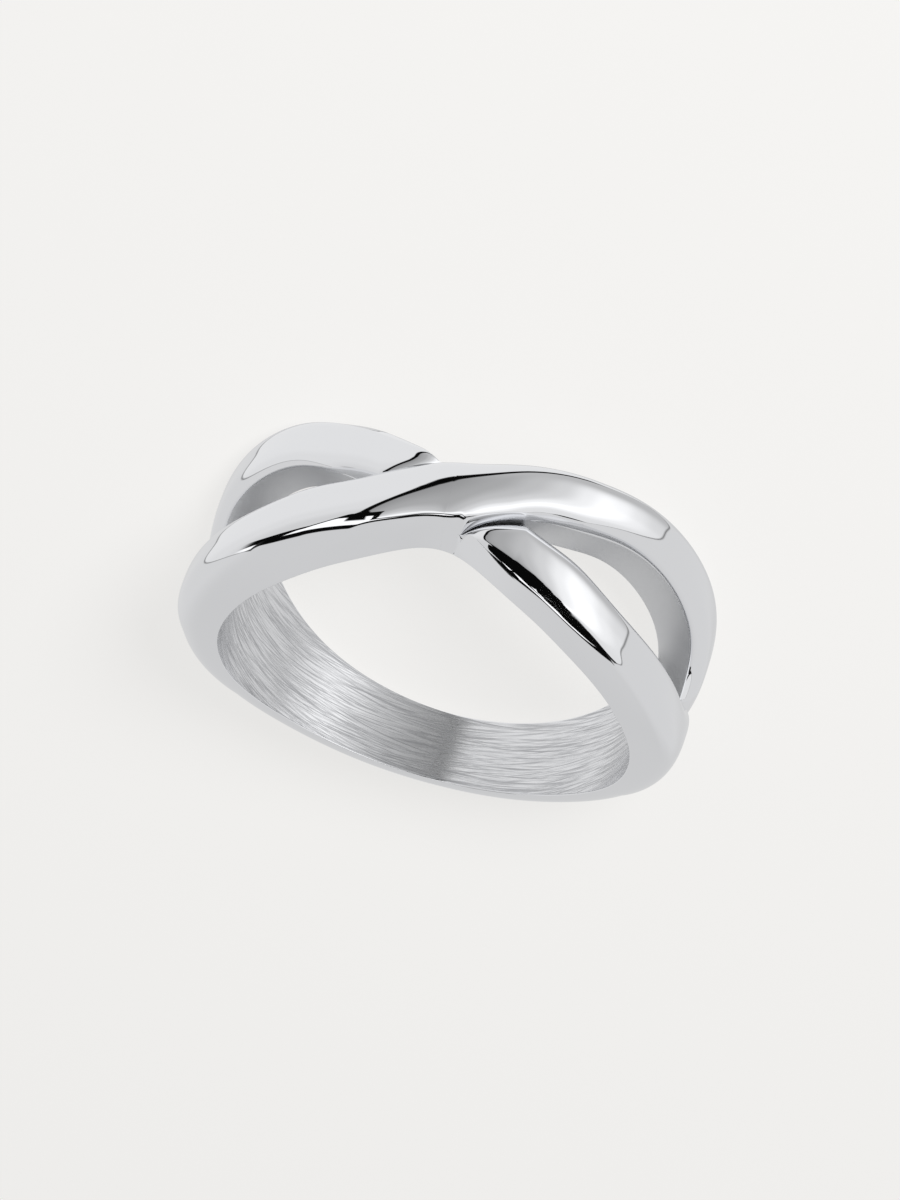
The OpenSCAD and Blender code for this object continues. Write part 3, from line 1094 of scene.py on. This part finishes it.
@dataclass
class Tent:
    """The light tent that the steel mirrors, in greys as the steel shows them.

    Two soft cards stand in front, with a black slit between them, and a small white cap with a black brim
    lies overhead. A grey wall stands behind. Edging parts it from the cards, black and wide overhead, grey
    and thin at the sides. A direction's x is positive to the left, its y behind the ring and its z upwards,
    each from -1 to 1, and lengths are counted in them. Left and right are the photograph's, which shows the
    ring upside down. A line overhead is given by its slope along x and its y where x is 0. A name that ends
    in between gives the two places at which a change starts and ends.
    """

    reflectance: float = 0.83
    soft: float = 0.012
    black: float = 8.0
    right_card: tuple[tuple[float, float], ...] = (
        (-95, 222), (-80, 226), (-70, 240), (-61, 257), (-51, 262),
        (-42, 242), (-31, 211), (-19, 190), (-6, 168), (14, 146),
    )
    right_card_low: float = 184.0
    right_low_between: tuple[float, float] = (-0.42, -0.78)
    left_card_high: float = 206.0
    left_card_mid: float = 219.0
    left_card_low: float = 224.0
    left_mid_between: tuple[float, float] = (0.85, 0.35)
    left_low_between: tuple[float, float] = (0.2, -0.3)
    slit_slope: float = 0.25
    slit_bend: float = 0.35
    slit_bend_below: float = -0.35
    slit_half: float = 0.045
    slit_half_low: float = 0.06
    slit_low_between: tuple[float, float] = (-0.2, -0.6)
    slit_more_high: float = 0.035
    slit_high_between: tuple[float, float] = (0.74, 0.84)
    slit_front_between: tuple[float, float] = (-0.02, -0.12)
    cards_meet: float = 0.01
    cap: float = 262.0
    cap_above_between: tuple[float, float] = (0.6, 0.75)
    cap_right: tuple[float, float] = (-0.75, -0.12)
    cap_steep: tuple[float, float] = (-5.0, -0.76)
    cap_front: float = -0.425
    cap_left: tuple[float, float] = (0.45, -0.08)
    cap_left_between: tuple[float, float] = (0.24, 0.36)
    brim_half_right: float = 0.05
    brim_half: float = 0.125
    brim_right_between: tuple[float, float] = (-0.17, -0.13)
    wall_back: float = 200.0
    wall_high: float = 203.0
    wall_side: float = 209.0
    wall_high_between: tuple[float, float] = (0.35, 0.75)
    wall_side_between: tuple[float, float] = (0.25, 0.6)
    edge_left: float = 0.43
    edge_top: float = 0.27
    edge_right: float = -0.155
    edge_right_bow: float = 0.57
    edge_bow_height: float = -0.1
    edge_sides_between: tuple[float, float] = (-0.15, 0.15)
    edge_top_between: tuple[float, float] = (0.6, 0.85)
    edge_half: float = 0.006
    edge_half_top: float = 0.09
    edge_grey: float = 90.0
    edge_black_between: tuple[float, float] = (0.72, 0.86)
    edge_right_between: tuple[float, float] = (-0.475, -0.445)
    wall_meets: float = 0.008

    def level(self, grey: float) -> float:
        """Find the light that the tent has to give for the steel to show a grey, which may be past white."""
        return linear(grey) / self.reflectance

    def build(self, g: Graph, direction: bpy.types.NodeSocket) -> Value:
        """Work out the light that comes from a direction.

        Args:
            g: The world's nodes.
            direction: The direction, a unit vector.

        Returns:
            The light's strength.
        """
        way = g.split(direction)
        slit = self.slit_distance(g, way)
        side = g.ease(slit, (-self.cards_meet, self.cards_meet))
        cards = g.blend(side, self.right(g, way), self.left(g, way))
        cards = self.add_cap(g, way, cards)
        cards = self.add_slit(g, way, slit, cards)
        return self.add_wall(g, way, cards)

    def right(self, g: Graph, way: Way) -> Value:
        """Light the right card by a scale of greys over the azimuth, and darken its foot.

        The azimuth is counted in degrees from the front, positive towards the left.

        Args:
            g: The world's nodes.
            way: The direction's x, y and z.

        Returns:
            The card's light.
        """
        x, y, z = way
        azimuth = g.math("ARCTAN2", x, g.math("MULTIPLY", y, -1.0))
        turn = g.math("MULTIPLY_ADD", azimuth, 0.5 / math.pi, 0.5)
        stops = tuple((0.5 + degrees / 360, self.level(grey)) for degrees, grey in self.right_card)
        low = g.ease(z, self.right_low_between)
        return g.blend(low, g.scale(turn, stops), self.level(self.right_card_low))

    def left(self, g: Graph, way: Way) -> Value:
        """Light the left card by its height alone.

        Args:
            g: The world's nodes.
            way: The direction's x, y and z.

        Returns:
            The card's light.
        """
        z = way[2]
        high, mid = self.level(self.left_card_high), self.level(self.left_card_mid)
        upper = g.ease(z, self.left_mid_between, high, mid)
        return g.blend(g.ease(z, self.left_low_between), upper, self.level(self.left_card_low))

    def slit_distance(self, g: Graph, way: Way) -> Value:
        """Measure how far a direction is from the slit's middle line, positive on the left card's side.

        It is x + slope * y, and below a height bend * (height - z) comes to it.

        Args:
            g: The world's nodes.
            way: The direction's x, y and z.

        Returns:
            The distance.
        """
        x, y, z = way
        below = g.math("MULTIPLY_ADD", z, -self.slit_bend, self.slit_bend * self.slit_bend_below)
        return g.total((1.0, x), (self.slit_slope, y), (1.0, g.math("MAXIMUM", below, 0.0)))

    def add_slit(self, g: Graph, way: Way, slit: Value, cards: Value) -> Value:
        """Draw the black slit, which widens towards its foot and its head and shows in front only.

        Args:
            g: The world's nodes.
            way: The direction's x, y and z.
            slit: The distance from the slit's middle line.
            cards: The light of what it is drawn over.

        Returns:
            The light with the slit in it.
        """
        _, y, z = way
        half = g.ease(z, self.slit_low_between, self.slit_half, self.slit_half_low)
        half = g.math("ADD", half, g.ease(z, self.slit_high_between, 0.0, self.slit_more_high))
        line = g.math("MULTIPLY", g.stroke(slit, half, self.soft), g.ease(y, self.slit_front_between))
        return g.blend(line, cards, self.level(self.black))

    def add_cap(self, g: Graph, way: Way, cards: Value) -> Value:
        """Lay the white cap overhead and draw its black brim.

        The cap's front runs along the lesser of a line on the right and a steep line, but no further forward
        than cap_front, and passes to a line of its own on the left.

        Args:
            g: The world's nodes.
            way: The direction's x, y and z.
            cards: The light of what it is laid over.

        Returns:
            The light with the cap in it.
        """
        x, y, z = way
        lines = (self.cap_right, self.cap_steep, self.cap_left)
        right, steep, left = (g.total((slope, x), (1.0, at)) for slope, at in lines)
        front = g.math("MAXIMUM", g.math("MINIMUM", right, steep), self.cap_front)
        front = g.blend(g.ease(x, self.cap_left_between), front, left)
        brim = g.math("SUBTRACT", y, front)
        above = g.ease(z, self.cap_above_between)
        cap = g.math("MULTIPLY", g.ease(brim, (-self.soft, self.soft)), above)
        cards = g.blend(cap, cards, self.level(self.cap))
        half = g.ease(x, self.brim_right_between, self.brim_half_right, self.brim_half)
        line = g.math("MULTIPLY", g.stroke(brim, half, self.soft), above)
        return g.blend(line, cards, self.level(self.black))

    def add_wall(self, g: Graph, way: Way, cards: Value) -> Value:
        """Stand the grey wall behind the cards and draw the edging along their border.

        The border's y is edge_left on the left, a bow of edge_right + edge_right_bow * (z - height)^2 on the
        right, and no more than edge_top overhead.

        Args:
            g: The world's nodes.
            way: The direction's x, y and z.
            cards: The light of the cards in front.

        Returns:
            The light of the whole tent.
        """
        x, y, z = way
        wall = g.ease(z, self.wall_high_between, self.level(self.wall_back), self.level(self.wall_high))
        side = g.ease(g.math("ABSOLUTE", x), self.wall_side_between)
        wall = g.blend(side, wall, self.level(self.wall_side))
        tall = g.math("SUBTRACT", z, self.edge_bow_height)
        bow = g.math("MULTIPLY_ADD", g.math("MULTIPLY", tall, tall), self.edge_right_bow, self.edge_right)
        border = g.blend(g.ease(x, self.edge_sides_between), bow, self.edge_left)
        border = g.math("MINIMUM", border, g.ease(z, self.edge_top_between, 1.0, self.edge_top))
        edge = g.math("SUBTRACT", y, border)
        seen = g.blend(g.ease(edge, (-self.wall_meets, self.wall_meets)), cards, wall)
        top = g.math("MULTIPLY", g.ease(z, self.edge_black_between), g.ease(x, self.edge_right_between))
        half = g.blend(top, self.edge_half, self.edge_half_top)
        ink = g.blend(top, self.level(self.edge_grey), self.level(self.black))
        return g.blend(g.stroke(edge, half, self.soft), seen, ink)


@dataclass
class Studio:
    """A pale floor, one large soft lamp for its shadow, and the tent that only reflections see."""

    tent: Tent = field(default_factory=Tent)
    floor_size: float = 2.0
    floor_colour: Colour = (0.18, 0.178, 0.175, 1.0)
    glow_colour: Colour = (0.905, 0.896, 0.880, 1.0)
    glow: float = 0.83
    room_light: float = 0.25
    lamp_from: tuple[float, float, float] = (-0.11, -0.26, 0.15)
    lamp_size: float = 0.10
    lamp_power: float = 1.1

    def build_floor(self) -> bpy.types.Object:
        """Lay the floor, which isn't part of the ring and which the steel doesn't mirror.

        Returns:
            The floor, whose faint glow keeps it as even as a lit paper sweep.
        """
        half = self.floor_size / 2
        corners = [(-half, -half, 0), (half, -half, 0), (half, half, 0), (-half, half, 0)]
        mesh = bpy.data.meshes.new("floor")
        mesh.from_pydata(corners, [], [(0, 1, 2, 3)])
        material = bpy.data.materials.new("pale_floor")
        material.use_nodes = True
        shader = material.node_tree.nodes["Principled BSDF"]
        shader.inputs["Base Color"].default_value = self.floor_colour
        shader.inputs["Roughness"].default_value = 1.0
        shader.inputs["Specular IOR Level"].default_value = 0.0
        shader.inputs["Emission Color"].default_value = self.glow_colour
        shader.inputs["Emission Strength"].default_value = self.glow
        mesh.materials.append(material)
        floor = bpy.data.objects.new("floor", mesh)
        bpy.context.scene.collection.objects.link(floor)
        floor.visible_glossy = False
        return floor

    def build_lamp(self) -> bpy.types.Object:
        """Hang the soft lamp that lights the floor and gives the ring its shadow.

        Returns:
            The lamp, turned to the place where the ring lies.
        """
        data = bpy.data.lights.new("soft_lamp", "AREA")
        data.shape = "DISK"
        data.size = self.lamp_size
        data.energy = self.lamp_power
        lamp = bpy.data.objects.new("soft_lamp", data)
        lamp.location = self.lamp_from
        lamp.rotation_euler = Vector(self.lamp_from).to_track_quat("Z", "Y").to_euler()
        lamp.visible_glossy = False
        bpy.context.scene.collection.objects.link(lamp)
        return lamp

    def build_world(self) -> bpy.types.World:
        """Surround the ring: an even room for the floor, and the tent for what the steel mirrors.

        Returns:
            The world.
        """
        world = bpy.data.worlds.new("light_tent")
        world.use_nodes = True
        g = Graph(world.node_tree)
        direction = g.node("ShaderNodeTexCoord").outputs["Generated"]
        light = self.tent.build(g, direction)
        mirrored = g.node("ShaderNodeLightPath").outputs["Is Glossy Ray"]
        background = world.node_tree.nodes["Background"]
        g.feed(background.inputs["Strength"], g.blend(mirrored, self.room_light, light))
        background.inputs["Color"].default_value = (1.0, 1.0, 1.0, 1.0)
        bpy.context.scene.world = world
        bpy.context.scene.view_settings.view_transform = "Standard"
        return world


def main() -> None:
    """Build the studio, the camera and the ring, in that order, and report each."""
    logging.basicConfig(level=logging.INFO, format="%(name)s: %(message)s")
    rest = Rest.from_record(frame["record"])
    studio = Studio()
    studio.build_floor()
    studio.build_lamp()
    studio.build_world()
    LOG.info("studio: floor, lamp and light tent")
    PhotoCamera().build(rest)
    finishes = {
        Surface.POLISHED: PolishedSteel().build(),
        Surface.BRUSHED: BrushedSteel().build(rest),
        Surface.SATIN: SatinSteelWithPaintedShade().build(),
    }
    band = CrossoverBand(BandForm(rest.hole_radius))
    band.build(rest, finishes)


if __name__ == "__main__":
    main()
